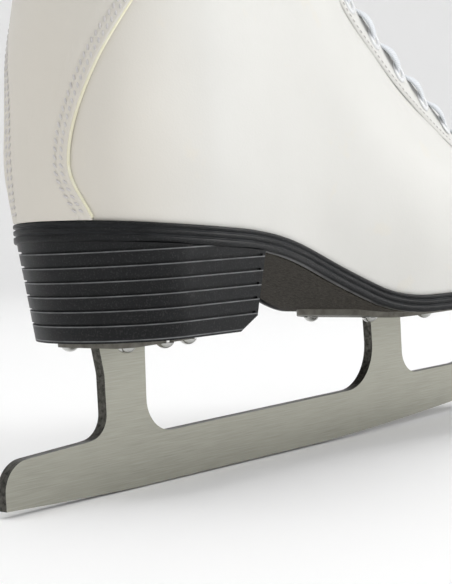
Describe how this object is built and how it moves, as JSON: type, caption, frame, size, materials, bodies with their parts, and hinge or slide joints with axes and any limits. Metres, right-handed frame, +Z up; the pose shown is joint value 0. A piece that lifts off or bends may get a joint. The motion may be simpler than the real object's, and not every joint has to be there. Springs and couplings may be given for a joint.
{
  "type": "figure skate",
  "caption": "Right figure skate: laced ankle-high boot with grooved heel and moulded outsole on a stamped steel blade with two posts and a toe pick.",
  "frame": {"origin": "the point where the rocker touches the ice, on the mid-plane of the blade", "axes": "+X forward to the toe, +Y to the skate's left (inner side of a right foot), +Z up"},
  "size_m": [0.2875, 0.0834, 0.2777],
  "materials": {
    "black_moulding": "moulded black sole unit, soft sheen",
    "blade_steel": "satin ground stainless steel",
    "eyelet_metal": "white lacquered brass",
    "foam": "soft foam",
    "footbed_cloth": "pale cushioned cloth",
    "hook_steel": "nickel plated steel",
    "insole_fibre": "tan fibre board",
    "lace_cotton": "flat white waxed lace, faintly blue",
    "lace_tip": "clear plastic lace tip",
    "lining_cloth": "brushed off-white lining",
    "plate_steel": "pressed steel, dull",
    "screw_steel": "bright domed screw heads",
    "sole_fibre": "dark brown-grey leather fibre board",
    "stiffener_board": "thermoplastic stiffener",
    "tongue_leather": "padded white tongue",
    "white_leather": "smooth white coated leather"
  },
  "bodies": {
    "boot": {"backstay": "white_leather", "blade_runner": "blade_steel", "collar_foam": "foam", "collar_roll": "white_leather", "eyelets_inner": "eyelet_metal", "eyelets_outer": "eyelet_metal", "eyestay_inner": "white_leather", "eyestay_outer": "white_leather", "footbed": "footbed_cloth", "heel_block": "black_moulding", "heel_nails": "screw_steel", "heel_plate": "plate_steel", "heel_screws": "screw_steel", "heel_stiffener": "stiffener_board", "hooks_inner": "hook_steel", "hooks_outer": "hook_steel", "insole_board": "insole_fibre", "lace_bow": "lace_cotton", "lace_ends": "lace_cotton", "lace_inner": "lace_cotton", "lace_knot": "lace_cotton", "lace_outer": "lace_cotton", "lace_tips": "lace_tip", "lining_inner": "lining_cloth", "lining_outer": "lining_cloth", "outsole_welt": "black_moulding", "quarter_inner": "white_leather", "quarter_outer": "white_leather", "shank": "plate_steel", "sole_board": "sole_fibre", "sole_plate": "plate_steel", "sole_screws": "screw_steel", "toe_puff": "stiffener_board", "tongue": "tongue_leather", "vamp": "white_leather", "vamp_lining": "lining_cloth"},
    "tongue_top": {"tongue_flap": "tongue_leather"}
  },
  "joints": [
    {"name": "tongue_fold", "type": "hinge", "parent": "boot", "child": "tongue_top", "pos_m": [0.02088, 0, 0.24256], "axis": [0, 1, 0], "range_deg": [0, 55], "stiffness_Nm_per_rad": 0.05}
  ]
}
